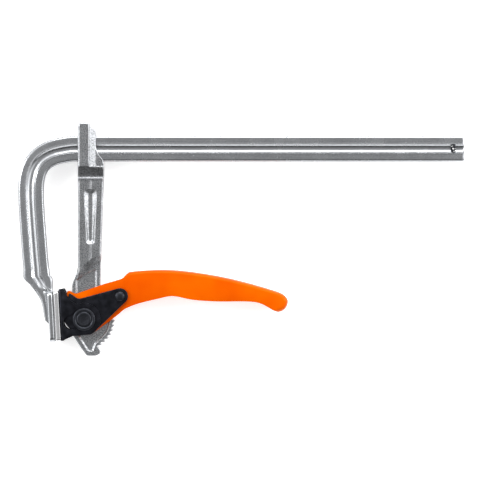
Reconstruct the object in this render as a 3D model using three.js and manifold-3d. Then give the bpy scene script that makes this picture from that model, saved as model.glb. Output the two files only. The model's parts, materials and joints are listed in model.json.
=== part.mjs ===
import * as THREE from "three";
import { mergeVertices } from "three/addons/utils/BufferGeometryUtils.js";
import Module from "manifold-3d";

const wasm = await Module();
wasm.setup();

// Everything is in millimetres. While building, the main pin's axis is the Z axis at x = 0, y = 0,
// the rail runs along +X above it, and z = 0 is the middle of the clamp's thickness.

// Rail and fixed arm
const RAIL_WIDTH = 22;
const RAIL_THICKNESS = 10.5;
const RAIL_EDGE_RADIUS = 2.6;
const GROOVE_HALF_MOUTH = 3.4;
const GROOVE_HALF_FLOOR = 1.4;
const GROOVE_DEPTH = 1.5;
const RAIL_Y = 143.9;
const RAIL_END_X = 320.5;
const ARM_CENTRELINE = [
  [-10, 143.8], [-17, 142.9], [-26, 140.8], [-33.8, 137], [-39.2, 132], [-42.8, 125.3],
  [-44.7, 117.5], [-45.3, 109], [-44.8, 94], [-43.4, 73.6], [-41.8, 53.3], [-40.6, 40],
];

// Jaws: both faces lean by the same small angle, and everything on them is measured from the main pin
const JAW_TILT = 3.2;
const ANVIL_DISTANCE = 25.8;
const ANVIL_THICKNESS = 4;
const ANVIL_HALF_WIDTH = 13.3;
const JAW_TOP = 25;
const JAW_BOTTOM = -17.4;

// Pressure pad
const PAD_DISTANCE = 23.75;
const PAD_THICKNESS = 3.7;
const PAD_HALF_WIDTH = 13.2;
const YOKE_WEB_INNER = 18.2;
const YOKE_WEB_THICKNESS = 2;
const YOKE_TOP = 26.4;
const YOKE_SIDE_INNER = 10.2;
const YOKE_SIDE_OUTER = 12.7;
const YOKE_EYE_RADIUS = 13.8;
const SLOT_HALF_WIDTH = 6.9;
const SLOT_LENGTH = 11.5;
const SLOT_DROP = -2;
const SLOT_END_RADIUS = 6;
const PAD_RIVET_RADIUS = 2.4;
const PAD_RIVET_HEIGHTS = [16, -11];

// Main pin
const PIN_RADIUS = 6.5;
const PIN_HALF_LENGTH = 15;
const COLLAR_RADIUS = 9.5;
const COLLAR_INNER = 13;
const COLLAR_OUTER = 15.2;
const BORE_RADIUS = 6.8;

// Sliding arm
const HEAD_HALF_THICKNESS = 10;
const HEAD_FLANK_HALF_THICKNESS = 8.6;
const WINDOW_GAP = 0.35;
const SHAFT_HALF_THICKNESS = 7.3;
const WEB_HALF_THICKNESS = 4.5;
const WEB_POCKET_FLOOR = 3.4;
const TOOTH_TIP_RADIUS = 26.2;
const TOOTH_ROOT_RADIUS = 23.7;
const TOOTH_PITCH = 9;
const FIRST_TOOTH = -56.2;
const TOOTH_COUNT = 11;
const TOOTH_UNDERCUT = 1.2;

// Lever, cam plates and pawl
const SHEET = 2;
const CHEEK_INNER = 4.9;
const GRIP_HALF_WIDTH = 10;
const GRIP_CORNER = 4;
const CAM_INNER = 7.2;
const CAM_OUTER = 9.9;
const CAM_RISE = 4.5;
const CAM_REACH = 17.5;
const PAWL_X = 30.1;
const PAWL_Y = 19.4;
const PAWL_LIFT = 8;
const PAWL_HALF_THICKNESS = 2.2;
const PAWL_PIN_RADIUS = 2.6;
const PAWL_PIN_HEAD = 4.1;

// Rolled pin at the rail's end
const STOP_X = 311.3;
const STOP_RADIUS = 2.2;
const STOP_BORE = 1.1;
const STOP_SLIT = 0.5;
const STOP_HALF_LENGTH = 6.6;

const STEEL = 0x9a9c9e;
const FORGED = 0x84868a;
const BRIGHT = 0xc4c6c9;
const BLACKENED = 0x18191b;
const PIN_BLACK = 0x232427;
const ORANGE = 0xf96a00;

const rad = THREE.MathUtils.degToRad;

function polar(radius, degrees) {
  return [radius * Math.cos(rad(degrees)), radius * Math.sin(rad(degrees))];
}

// A point given by its distance from the main pin towards the anvil and its height along the face
function jaw(distance, height) {
  const c = Math.cos(rad(JAW_TILT));
  const s = Math.sin(rad(JAW_TILT));
  return [-c * distance - s * height, -s * distance + c * height];
}

function arc(cx, cy, radius, from, to, steps) {
  const points = [];
  for (let i = 0; i <= steps; i += 1) {
    const [x, y] = polar(radius, from + ((to - from) * i) / steps);
    points.push([cx + x, cy + y]);
  }
  return points;
}

function smooth(points, steps) {
  const curve = new THREE.SplineCurve(points.map(([x, y]) => new THREE.Vector2(x, y)));
  return curve.getSpacedPoints(steps).map((p) => [p.x, p.y]);
}

function rounded(points, radii, steps = 4) {
  const result = [];
  const count = points.length;
  points.forEach((corner, i) => {
    const radius = Array.isArray(radii) ? radii[i] : radii;
    if (!radius) {
      result.push(corner);
      return;
    }
    const here = new THREE.Vector2(...corner);
    const before = new THREE.Vector2(...points[(i + count - 1) % count]).sub(here).normalize();
    const after = new THREE.Vector2(...points[(i + 1) % count]).sub(here).normalize();
    const half = Math.acos(THREE.MathUtils.clamp(before.dot(after), -1, 1)) / 2;
    const reach = radius / Math.tan(half);
    const start = here.clone().addScaledVector(before, reach);
    const end = here.clone().addScaledVector(after, reach);
    for (let k = 0; k <= steps; k += 1) {
      const t = k / steps;
      const a = start.clone().lerp(here, t);
      const b = here.clone().lerp(end, t);
      const p = a.lerp(b, t);
      result.push([p.x, p.y]);
    }
  });
  return result;
}

function circle(cx, cy, radius, steps) {
  return arc(cx, cy, radius, 0, 360 - 360 / steps, steps - 1);
}

function ringArea(ring) {
  const normal = new THREE.Vector3();
  ring.forEach((p, i) => {
    const q = ring[(i + 1) % ring.length];
    normal.x += (p.y - q.y) * (p.z + q.z);
    normal.y += (p.z - q.z) * (p.x + q.x);
    normal.z += (p.x - q.x) * (p.y + q.y);
  });
  return normal;
}

function flattened(ring, normal) {
  const size = [Math.abs(normal.x), Math.abs(normal.y), Math.abs(normal.z)];
  const drop = size.indexOf(Math.max(...size));
  return ring.map((p) => {
    const all = [p.x, p.y, p.z];
    all.splice(drop, 1);
    return new THREE.Vector2(all[0], all[1]);
  });
}

// A closed solid through a list of rings that all have the same number of points
function loft(rings) {
  const size = rings[0].length;
  const last = rings.length - 1;
  const positions = rings.flat().flatMap((p) => [p.x, p.y, p.z]);
  const index = [];
  const centre = (ring) => ring.reduce((sum, p) => sum.add(p), new THREE.Vector3()).divideScalar(size);
  const forward = centre(rings[1]).sub(centre(rings[0]));
  const outward = ringArea(rings[0]).dot(forward) > 0;
  const face = (a, b, c) => (outward ? index.push(a, b, c) : index.push(a, c, b));
  for (let i = 0; i < last; i += 1) {
    for (let j = 0; j < size; j += 1) {
      const k = (j + 1) % size;
      face(i * size + j, i * size + k, (i + 1) * size + k);
      face(i * size + j, (i + 1) * size + k, (i + 1) * size + j);
    }
  }
  [0, last].forEach((level) => {
    const ring = rings[level];
    const wanted = ringArea(ring);
    if (level === 0 ? outward : !outward) {
      wanted.negate();
    }
    THREE.ShapeUtils.triangulateShape(flattened(ring, wanted), []).forEach(([a, b, c]) => {
      const edge = ring[b].clone().sub(ring[a]);
      const other = ring[c].clone().sub(ring[a]);
      const turned = edge.cross(other).dot(wanted) < 0;
      const base = level * size;
      index.push(base + a, base + (turned ? c : b), base + (turned ? b : c));
    });
  });
  const geometry = new THREE.BufferGeometry();
  geometry.setAttribute("position", new THREE.Float32BufferAttribute(positions, 3));
  geometry.setIndex(index);
  return toSolid(geometry);
}

function toSolid(geometry) {
  const bare = geometry.clone();
  bare.deleteAttribute("normal");
  bare.deleteAttribute("uv");
  const merged = mergeVertices(bare, 1e-4);
  const vertProperties = new Float32Array(merged.attributes.position.array);
  const triVerts = new Uint32Array(merged.index.array);
  return new wasm.Manifold(new wasm.Mesh({ numProp: 3, vertProperties, triVerts }));
}

// A flat outline given thickness from z0 to z1
function slab(outline, z0, z1) {
  const ring = (z) => outline.map(([x, y]) => new THREE.Vector3(x, y, z));
  return loft([ring(z0), ring(z1)]);
}

// The same flat outline on both sides of the middle plane
function pair(outline, inner, outer) {
  return slab(outline, inner, outer).add(slab(outline, -outer, -inner));
}

// A solid between two outlines at two heights, made on both sides of the middle plane
function slopedPair(outlineIn, zIn, outlineOut, zOut) {
  const solids = [1, -1].map((side) => {
    const a = outlineIn.map(([x, y]) => new THREE.Vector3(x, y, side * zIn));
    const b = outlineOut.map(([x, y]) => new THREE.Vector3(x, y, side * zOut));
    return loft([a, b]);
  });
  return solids[0].add(solids[1]);
}

// A block standing on the jaw faces: outline in (height, z), from one distance to another
function jawBlock(outline, near, far, farOutline = outline) {
  const ring = (points, distance) => points.map(([height, z]) => {
    const [x, y] = jaw(distance, height);
    return new THREE.Vector3(x, y, z);
  });
  return loft([ring(outline, near), ring(farOutline, far)]);
}

function box2(x0, x1, y0, y1) {
  return [[x0, y0], [x1, y0], [x1, y1], [x0, y1]];
}

function mesh(name, solid, color, roughness, metalness) {
  const data = solid.getMesh();
  const geometry = new THREE.BufferGeometry();
  geometry.setAttribute("position", new THREE.Float32BufferAttribute(data.vertProperties, 3));
  geometry.setIndex(Array.from(data.triVerts));
  geometry.computeVertexNormals();
  const material = new THREE.MeshStandardMaterial({ color, roughness, metalness });
  const result = new THREE.Mesh(geometry, material);
  result.name = name;
  return result;
}

// ---- rail with the fixed arm and the fixed jaw

function railSection() {
  const w = RAIL_WIDTH / 2;
  const t = RAIL_THICKNESS / 2;
  const floor = t - GROOVE_DEPTH;
  const corners = [
    [w, -t], [w, t], [GROOVE_HALF_MOUTH, t], [GROOVE_HALF_FLOOR, floor],
    [-GROOVE_HALF_FLOOR, floor], [-GROOVE_HALF_MOUTH, t], [-w, t], [-w, -t],
    [-GROOVE_HALF_MOUTH, -t], [-GROOVE_HALF_FLOOR, -floor], [GROOVE_HALF_FLOOR, -floor],
    [GROOVE_HALF_MOUTH, -t],
  ];
  const e = RAIL_EDGE_RADIUS;
  return rounded(corners, [e, e, 0, 0, 0, 0, e, e, 0, 0, 0, 0], 4);
}

function railBar() {
  const section = railSection();
  const bend = smooth([[4, RAIL_Y], ...ARM_CENTRELINE], 34);
  const path = [[RAIL_END_X, RAIL_Y], ...bend];
  const rings = path.map(([x, y], i) => {
    const next = path[Math.min(i + 1, path.length - 1)];
    const previous = path[Math.max(i - 1, 0)];
    const tangent = new THREE.Vector2(next[0] - previous[0], next[1] - previous[1]).normalize();
    return section.map(([u, v]) => new THREE.Vector3(x - tangent.y * u, y + tangent.x * u, v));
  });
  const arm = loft(rings);
  const rib = [
    [-52, 40.5], [-51, 36], [-49.2, 33], [-46.2, 29.2], [-41.2, 22.6], [-37, 16], [-35.4, 9.4],
    [-34.3, 2.7], [-33.4, -1.2], [-30.6, -3.4], jaw(ANVIL_DISTANCE + 1, -4), jaw(ANVIL_DISTANCE + 0.6, 24),
    [-26.7, 33], [-27.4, 36.5], [-29.2, 40.2],
  ];
  const plate = rounded(
    [[JAW_BOTTOM, -ANVIL_HALF_WIDTH], [JAW_TOP, -ANVIL_HALF_WIDTH], [JAW_TOP, ANVIL_HALF_WIDTH],
      [JAW_BOTTOM, ANVIL_HALF_WIDTH]], 3.5);
  const t = RAIL_THICKNESS / 2;
  const gussetFoot = [[-3.5, -11.5], [23.5, -11.5], [23.5, 11.5], [-3.5, 11.5]];
  const gussetTop = [[-2.4, -t], [22, -t], [22, t], [-2.4, t]];
  const backOfPlate = ANVIL_DISTANCE + ANVIL_THICKNESS;
  return arm
    .add(slab(rib, -t, t))
    .add(jawBlock(plate, ANVIL_DISTANCE, backOfPlate))
    .add(jawBlock(gussetFoot, backOfPlate - 0.5, backOfPlate + 3.4, gussetTop))
    .subtract(slab(circle(STOP_X, RAIL_Y, STOP_RADIUS + 0.3, 20), -8, 8));
}

function endStopPin() {
  const opening = THREE.MathUtils.radToDeg(Math.asin(STOP_SLIT / STOP_RADIUS));
  const outside = arc(STOP_X, RAIL_Y, STOP_RADIUS, opening, 360 - opening, 20);
  const inside = arc(STOP_X, RAIL_Y, STOP_BORE, 360 - opening * 2, opening * 2, 14);
  return slab([...outside, ...inside], -STOP_HALF_LENGTH, STOP_HALF_LENGTH);
}

// ---- sliding arm

function toothOutline() {
  const points = [];
  for (let i = 0; i < TOOTH_COUNT; i += 1) {
    const tip = FIRST_TOOTH + i * TOOTH_PITCH;
    points.push(polar(TOOTH_TIP_RADIUS, tip - 0.5));
    points.push(polar(TOOTH_TIP_RADIUS, tip));
    points.push(polar(TOOTH_ROOT_RADIUS, tip + TOOTH_UNDERCUT));
  }
  return points;
}

function slidingArm() {
  const post = rounded(
    [[-5.5, 128], [5, 128], [5, 161], [4.4, 166.2], [-5.5, 166.2]], [0, 0, 0, 1.4, 2], 4);
  const flank = [
    [4, 128], [16.5, 128], [16.5, 131.5], [15.6, 134.6], [12.8, 137.6], [10.8, 141], [9.7, 145.4],
    [9.7, 158.5], [8.8, 160.6], [4, 162.6],
  ];
  const shaftRing = (y, x0, x1, half) => {
    const chamfer = 1.4;
    const ring = [
      [x0 + chamfer, -half], [x1 - chamfer, -half], [x1, -half + chamfer], [x1, half - chamfer],
      [x1 - chamfer, half], [x0 + chamfer, half], [x0, half - chamfer], [x0, -half + chamfer],
    ];
    return ring.map(([x, z]) => new THREE.Vector3(x, y, z));
  };
  const shaft = loft([
    shaftRing(130.5, -5.5, 16.5, HEAD_FLANK_HALF_THICKNESS),
    shaftRing(128, -5.5, 16.5, HEAD_FLANK_HALF_THICKNESS),
    shaftRing(120, -5.5, 16.4, SHAFT_HALF_THICKNESS),
    shaftRing(57, -5.5, 14.4, SHAFT_HALF_THICKNESS),
    shaftRing(34, -5.5, 13.6, SHAFT_HALF_THICKNESS),
  ]);
  const web = [
    [-5.5, 60], [-5.5, 45], [-6.4, 40], [-8, 36.4], [-9.6, 33], [-10.6, 29.5], [-10.6, 22],
    [-9, 17], [-8.6, -8], [-9.4, -14.2], [-2.8, -24.4], [1.4, -30.2], [2.6, -31], [9.6, -31],
    [12.6, -29.5], [13.7, -27.6], [12.9, -25.4], [10.6, -22.1],
    ...toothOutline(),
    [15.6, 19.4], [13.5, 24], [13.4, 30], [14.4, 60],
  ];
  const below = [[60, -60], [-60, -60], [-60, 20]];
  const slopeFoot = [...arc(30, 12, 42.5, 205, 111, 16).filter(([x]) => x < 16), [60, 52.5], ...below];
  const slopeTop = [...arc(14.5, 35, 20.5, 180, 90, slopeFoot.length - 5), [60, 55.5], ...below];
  const clearance = slopedPair(slopeFoot, WEB_HALF_THICKNESS, slopeTop, SHAFT_HALF_THICKNESS + 0.4);
  const pocketTop = rounded([[-1.2, 110.6], [1.4, 62.6], [9, 62.6], [11.3, 110.6]], [5, 2.6, 2.6, 5], 4);
  const pocketFloor = rounded([[3.3, 106], [3.8, 66.5], [6.6, 66.5], [7.1, 106]], [1, 1, 1, 1], 4);
  const pocket = slopedPair(pocketFloor, 4.6, pocketTop, SHAFT_HALF_THICKNESS + 0.2);
  const rimArc = arc(0, 0, 21.6, -52, 42, 14);
  const webPocket = [
    [-6.8, 30], [-6.8, -11], [3.4, -26.8], [7, -26.8], [9.2, -20.6], ...rimArc, [9.8, 24], [9.8, 40.5], [2, 36.5],
  ];
  const eye = circle(0, 0, 10.8, 36);
  const hollow = pair(webPocket, WEB_POCKET_FLOOR, 6).subtract(slab(eye, -7, 7));
  const thick = shaft.subtract(clearance).subtract(pocket);
  const gapY = RAIL_WIDTH / 2 + WINDOW_GAP;
  const gapZ = RAIL_THICKNESS / 2 + WINDOW_GAP;
  return thick
    .add(slab(web, -WEB_HALF_THICKNESS, WEB_HALF_THICKNESS).subtract(hollow))
    .add(slab(post, -HEAD_HALF_THICKNESS, HEAD_HALF_THICKNESS))
    .add(slab(flank, -HEAD_FLANK_HALF_THICKNESS, HEAD_FLANK_HALF_THICKNESS))
    .subtract(slab(box2(-30, 30, RAIL_Y - gapY, RAIL_Y + gapY), -gapZ, gapZ))
    .subtract(slab(circle(0, 0, BORE_RADIUS, 40), -20, 20));
}

// ---- main pin and its collars

function mainPin() {
  const chamfer = 0.5;
  const ring = (radius, z) => circle(0, 0, radius, 40).map(([x, y]) => new THREE.Vector3(x, y, z));
  return loft([
    ring(PIN_RADIUS - chamfer, -PIN_HALF_LENGTH),
    ring(PIN_RADIUS, -PIN_HALF_LENGTH + chamfer),
    ring(PIN_RADIUS, PIN_HALF_LENGTH - chamfer),
    ring(PIN_RADIUS - chamfer, PIN_HALF_LENGTH),
  ]);
}

function pinCollar(side) {
  const chamfer = 0.6;
  const ring = (radius, z) => circle(0, 0, radius, 40).map(([x, y]) => new THREE.Vector3(x, y, side * z));
  const body = loft([
    ring(COLLAR_RADIUS, COLLAR_INNER),
    ring(COLLAR_RADIUS, COLLAR_OUTER - chamfer),
    ring(COLLAR_RADIUS - chamfer, COLLAR_OUTER),
  ]);
  return body.subtract(slab(circle(0, 0, BORE_RADIUS, 40), -20, 20));
}

// ---- lever

const LEVER_TOP = [
  [34, 37.2], [37.2, 39.6], [42, 40.3], [52, 41.2], [67, 41.7], [82, 40.9], [102.5, 38.2], [123, 34.3],
  [143, 29.2], [158, 24.7], [165.5, 22.2], [169.4, 19.6], [171.4, 16.6],
];
const LEVER_BOTTOM = [
  [34, 8.3], [37.2, 10], [46.8, 13.5], [62, 17.2], [71, 19.3], [78, 19.2], [92, 16.3], [112, 15],
  [137, 15], [147.5, 13.6], [154, 10.6], [159, 7.4], [163.6, 6], [168, 7.8], [171.4, 12.6],
];

function heightAt(points, x) {
  const curve = smooth(points, 160);
  const after = curve.findIndex(([px]) => px >= x);
  if (after <= 0) {
    return after === 0 ? curve[0][1] : curve[curve.length - 1][1];
  }
  const [x0, y0] = curve[after - 1];
  const [x1, y1] = curve[after];
  return y0 + ((y1 - y0) * (x - x0)) / (x1 - x0);
}

function halfWidthAt(x) {
  const t = THREE.MathUtils.smoothstep(x, 42, 98);
  const tip = THREE.MathUtils.smoothstep(x, 160, 171.4);
  return CHEEK_INNER + SHEET + (GRIP_HALF_WIDTH - CHEEK_INNER - SHEET) * t - 1.6 * tip;
}

function leverStations(from, to) {
  const stops = [36, 38, 42, 50, 58, 66, 72, 78, 86, 94, 104, 116, 128, 138, 146, 152, 157, 161, 165, 168, 170, 171.4];
  return [from, ...stops.filter((x) => x > from + 0.5 && x < to - 0.5), to];
}

function leverHandle() {
  const outerRing = (x) => {
    const top = heightAt(LEVER_TOP, x);
    const bottom = heightAt(LEVER_BOTTOM, x);
    const w = halfWidthAt(x);
    const corner = Math.min(GRIP_CORNER, w * 0.45, (top - bottom) * 0.45);
    const outline = rounded([[bottom, -w], [bottom, w], [top, w], [top, -w]], [0, 0, corner, corner], 4);
    return outline.map(([y, z]) => new THREE.Vector3(x, y, z));
  };
  const cavityRing = (x) => {
    const top = heightAt(LEVER_TOP, x) - SHEET * 1.06;
    const w = halfWidthAt(x) - SHEET;
    const outline = rounded([[-20, -w], [-20, w], [top, w], [top, -w]], [0, 0, 2, 2], 3);
    return outline.map(([y, z]) => new THREE.Vector3(x, y, z));
  };
  const channel = loft(leverStations(36, 171.4).map(outerRing));
  const cavity = loft(leverStations(30, 168.6).map(cavityRing));
  const hub = arc(0, 0, 10.4, 246, 180, 8);
  const cheek = [
    [-14.4, 23.5], [-13.2, 23.9], [-7.3, 21.4], [16.4, 29.6], [31.4, 34], [37, 39.4], [44, 40.2],
    [44, 13.8], [36.7, 9.8], [31.6, 6.7], [26.5, 2.3], [9.6, -10], [6.2, -12.2], [1, -12.8], ...hub,
    [-13.6, 8], [-15.2, 16],
  ];
  return channel.subtract(cavity)
    .add(pair(cheek, CHEEK_INNER, CHEEK_INNER + SHEET))
    .subtract(slab(circle(0, 0, BORE_RADIUS, 40), -20, 20))
    .subtract(slab(circle(PAWL_X, PAWL_Y, PAWL_PIN_RADIUS + 0.3, 24), -20, 20));
}

// The cam's front follows an involute, so each degree of lever pushes the pad by the same amount
function camOutline() {
  const front = [];
  for (let i = 0; i <= 16; i += 1) {
    const turned = 144 + 6 * i;
    const direction = rad(turned);
    const reach = CAM_REACH - CAM_RISE * rad(turned - 180 - JAW_TILT);
    const ux = Math.cos(direction);
    const uy = Math.sin(direction);
    front.push([reach * ux + CAM_RISE * uy, reach * uy - CAM_RISE * ux]);
  }
  return [
    [-11.6, 21.6], [-4.7, 17.2], ...arc(PAWL_X, PAWL_Y, 6.8, 105, -52, 12),
    [9.5, -9.8], [5.6, -11.6], [0, -11.6], [-4.4, -10],
    ...front.reverse(),
  ];
}

function camPlate(side) {
  const outline = camOutline();
  const low = Math.min(side * CAM_INNER, side * CAM_OUTER);
  const high = Math.max(side * CAM_INNER, side * CAM_OUTER);
  return slab(outline, low, high)
    .subtract(slab(circle(0, 0, BORE_RADIUS, 40), -20, 20))
    .subtract(slab(circle(PAWL_X, PAWL_Y, PAWL_PIN_RADIUS + 0.3, 24), -20, 20));
}

// ---- pawl

// Drawn with its nose in a tooth space, then swung out until the nose is just clear of the teeth
function pawl() {
  const strut = [
    [25.3, 17.6], [26.8, 13], [26.4, 9.6], [25.65, 6.9], [24.35, 4.5], [24.1, 3.75], [25.3, 3.72],
    [27.3, 6.8], [29.6, 11.5], [33.6, 16.6],
  ];
  const c = Math.cos(rad(PAWL_LIFT));
  const s = Math.sin(rad(PAWL_LIFT));
  const lifted = strut.map(([x, y]) => {
    const dx = x - PAWL_X;
    const dy = y - PAWL_Y;
    return [PAWL_X + c * dx - s * dy, PAWL_Y + s * dx + c * dy];
  });
  const tail = [
    [34.6, 17], [38, 18.6], [50, 23.8], [63.4, 25.4], [65, 27], [63.6, 28.6], [50, 27.6], [36, 23],
  ];
  const outline = [...lifted.reverse(), ...arc(PAWL_X, PAWL_Y, 5, 185, 60, 8), ...tail.reverse()];
  return slab(outline, -PAWL_HALF_THICKNESS, PAWL_HALF_THICKNESS)
    .subtract(slab(circle(PAWL_X, PAWL_Y, PAWL_PIN_RADIUS + 0.3, 24), -9, 9));
}

function pawlPin() {
  const ring = (radius, z) => circle(PAWL_X, PAWL_Y, radius, 28).map(([x, y]) => new THREE.Vector3(x, y, z));
  const under = CAM_OUTER + 0.3;
  return loft([
    ring(PAWL_PIN_HEAD - 1, -under - 1.3),
    ring(PAWL_PIN_HEAD, -under - 0.6),
    ring(PAWL_PIN_HEAD, -under),
    ring(PAWL_PIN_RADIUS, -under + 0.01),
    ring(PAWL_PIN_RADIUS, under - 0.01),
    ring(PAWL_PIN_HEAD, under),
    ring(PAWL_PIN_HEAD, under + 0.6),
    ring(PAWL_PIN_HEAD - 1, under + 1.3),
  ]);
}

function pawlSpacer() {
  const tube = slab(circle(PAWL_X, PAWL_Y, 4.4, 28), -CHEEK_INNER + 0.3, -PAWL_HALF_THICKNESS - 0.3);
  return tube.subtract(slab(circle(PAWL_X, PAWL_Y, PAWL_PIN_RADIUS + 0.3, 24), -20, 20));
}

function pawlSpring() {
  const wire = 0.4;
  const coil = 3.5;
  const z0 = PAWL_HALF_THICKNESS + 0.3 + wire;
  const z1 = CHEEK_INNER - 0.3 - wire;
  const points = [new THREE.Vector3(50, 29, -1.6), new THREE.Vector3(49.8, 29, 1.2)];
  points.push(new THREE.Vector3(48.4, 28.8, z0), new THREE.Vector3(41, 26.2, z0));
  for (let i = 0; i <= 26; i += 1) {
    const t = i / 26;
    const [x, y] = polar(coil, 110 + 650 * t);
    points.push(new THREE.Vector3(PAWL_X + x, PAWL_Y + y, z0 + (z1 - z0) * t));
  }
  points.push(new THREE.Vector3(PAWL_X + 8, PAWL_Y + 10.5, z1));
  points.push(new THREE.Vector3(PAWL_X + 18, PAWL_Y + 18, z1));
  const path = new THREE.CatmullRomCurve3(points, false, "centripetal");
  const section = new THREE.Shape(circle(0, 0, wire, 8).map(([x, y]) => new THREE.Vector2(x, y)));
  return toSolid(new THREE.ExtrudeGeometry(section, { steps: 80, extrudePath: path }));
}

// ---- pressure pad

function padYoke() {
  const slotEnd = jaw(SLOT_LENGTH, SLOT_DROP);
  const w = YOKE_SIDE_OUTER;
  const web = [[JAW_BOTTOM + 0.3, -w], [YOKE_TOP, -w], [YOKE_TOP, w], [JAW_BOTTOM + 0.3, w]];
  const side = [
    jaw(YOKE_WEB_INNER + 1, YOKE_TOP), [-17.6, 25.7], [-16.2, 23.6], [-14, 19.6], [-10.8, 15.6], [-7.8, 13.6],
    ...arc(0, 0, YOKE_EYE_RADIUS, 112, -66, 18),
    [-9.2, -14], jaw(YOKE_WEB_INNER + 1, JAW_BOTTOM + 0.3),
  ];
  const slot = [
    ...arc(0, 0, SLOT_HALF_WIDTH, -82, 93, 16),
    ...arc(-4.4, -0.25, SLOT_HALF_WIDTH, 93, 115, 4),
    ...arc(slotEnd[0], slotEnd[1], SLOT_END_RADIUS, 115, 278, 14),
  ];
  const rivetHoles = PAD_RIVET_HEIGHTS.map((height) => {
    const outline = circle(height, 0, PAD_RIVET_RADIUS + 0.3, 20);
    return jawBlock(outline, YOKE_WEB_INNER - 2, PAD_DISTANCE + 1);
  });
  return jawBlock(web, YOKE_WEB_INNER, YOKE_WEB_INNER + YOKE_WEB_THICKNESS)
    .add(pair(side, YOKE_SIDE_INNER, YOKE_SIDE_OUTER))
    .subtract(slab(slot, -20, 20).intersect(pair(box2(-40, 40, -40, 40), YOKE_SIDE_INNER - 1, 20)))
    .subtract(rivetHoles[0])
    .subtract(rivetHoles[1]);
}

function padFacePlate() {
  const w = PAD_HALF_WIDTH;
  const face = rounded([[JAW_BOTTOM, -w], [JAW_TOP, -w], [JAW_TOP, w], [JAW_BOTTOM, w]], 2);
  const inner = YOKE_WEB_INNER + YOKE_WEB_THICKNESS + 0.3;
  const holes = PAD_RIVET_HEIGHTS.map((height) => {
    const outline = circle(height, 0, PAD_RIVET_RADIUS + 0.3, 20);
    return jawBlock(outline, inner - 2, PAD_DISTANCE + 1);
  });
  return jawBlock(face, inner, PAD_DISTANCE).subtract(holes[0]).subtract(holes[1]);
}

function padRivet(height) {
  return jawBlock(circle(height, 0, PAD_RIVET_RADIUS, 20), YOKE_WEB_INNER + 0.1, PAD_DISTANCE - 0.2);
}

const clamp = new THREE.Group();
clamp.name = "lever_clamp";
clamp.add(
  mesh("rail_bar", railBar(), STEEL, 0.35, 1),
  mesh("end_stop_pin", endStopPin(), PIN_BLACK, 0.4, 1),
  mesh("sliding_arm", slidingArm(), FORGED, 0.5, 1),
  mesh("main_pin", mainPin(), PIN_BLACK, 0.4, 1),
  mesh("pin_collar_near", pinCollar(1), PIN_BLACK, 0.4, 1),
  mesh("pin_collar_far", pinCollar(-1), PIN_BLACK, 0.4, 1),
  mesh("lever_handle", leverHandle(), ORANGE, 0.35, 0),
  mesh("cam_plate_near", camPlate(1), BLACKENED, 0.45, 1),
  mesh("cam_plate_far", camPlate(-1), BLACKENED, 0.45, 1),
  mesh("pawl", pawl(), FORGED, 0.45, 1),
  mesh("pawl_pin", pawlPin(), PIN_BLACK, 0.4, 1),
  mesh("pawl_spacer", pawlSpacer(), STEEL, 0.4, 1),
  mesh("pawl_spring", pawlSpring(), STEEL, 0.35, 1),
  mesh("pad_yoke", padYoke(), BLACKENED, 0.45, 1),
  mesh("pad_face_plate", padFacePlate(), BRIGHT, 0.25, 1),
  mesh("pad_rivet_upper", padRivet(PAD_RIVET_HEIGHTS[0]), STEEL, 0.35, 1),
  mesh("pad_rivet_lower", padRivet(PAD_RIVET_HEIGHTS[1]), STEEL, 0.35, 1),
);

// The clamp lies on its far side: its lowest point is on z = 0 and its box is centred in x and y
const box = new THREE.Box3().setFromObject(clamp);
const middle = box.getCenter(new THREE.Vector3());
clamp.children.forEach((child) => {
  child.geometry.translate(-middle.x, -middle.y, -box.min.z);
});

export default clamp;
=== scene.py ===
import json
from math import cos, pi, radians, sin, tau

import bmesh
import bpy
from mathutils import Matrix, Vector

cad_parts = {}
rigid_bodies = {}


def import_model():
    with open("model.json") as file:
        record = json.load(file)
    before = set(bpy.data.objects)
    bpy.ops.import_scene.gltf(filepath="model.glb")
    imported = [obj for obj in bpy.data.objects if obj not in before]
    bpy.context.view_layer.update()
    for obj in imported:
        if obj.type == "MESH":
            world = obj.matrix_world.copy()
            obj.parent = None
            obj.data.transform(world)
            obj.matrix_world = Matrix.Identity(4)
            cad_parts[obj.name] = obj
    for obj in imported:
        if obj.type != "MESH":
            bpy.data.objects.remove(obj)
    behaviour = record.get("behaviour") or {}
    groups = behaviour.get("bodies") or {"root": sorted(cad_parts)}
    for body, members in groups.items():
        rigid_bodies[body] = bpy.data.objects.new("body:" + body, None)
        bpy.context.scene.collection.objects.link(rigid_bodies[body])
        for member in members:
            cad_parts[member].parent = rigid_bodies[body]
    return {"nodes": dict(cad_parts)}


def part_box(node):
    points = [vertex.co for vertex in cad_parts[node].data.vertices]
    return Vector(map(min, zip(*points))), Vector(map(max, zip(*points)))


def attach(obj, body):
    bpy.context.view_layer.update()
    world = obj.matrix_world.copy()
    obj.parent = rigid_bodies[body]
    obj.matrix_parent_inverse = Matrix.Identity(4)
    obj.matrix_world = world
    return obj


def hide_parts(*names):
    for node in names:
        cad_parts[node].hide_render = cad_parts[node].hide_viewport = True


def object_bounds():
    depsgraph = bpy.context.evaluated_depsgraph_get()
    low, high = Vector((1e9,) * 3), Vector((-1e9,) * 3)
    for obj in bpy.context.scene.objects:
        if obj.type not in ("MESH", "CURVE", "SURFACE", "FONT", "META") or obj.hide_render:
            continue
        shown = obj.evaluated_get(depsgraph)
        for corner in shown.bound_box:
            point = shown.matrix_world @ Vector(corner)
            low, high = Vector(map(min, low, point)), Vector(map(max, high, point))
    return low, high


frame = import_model()
cad_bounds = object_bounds()

# ---------------------------------------------------------------- places and sizes

# Every piece is drawn in millimetres from the middle of the main pin, which the frame places:
# x along the rail, y from the jaws towards the rail, z through the clamp's thickness.
MM = 0.001
pin_low, pin_high = (Vector(corner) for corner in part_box("main_pin"))
PIN = (pin_low + pin_high) / 2

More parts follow.
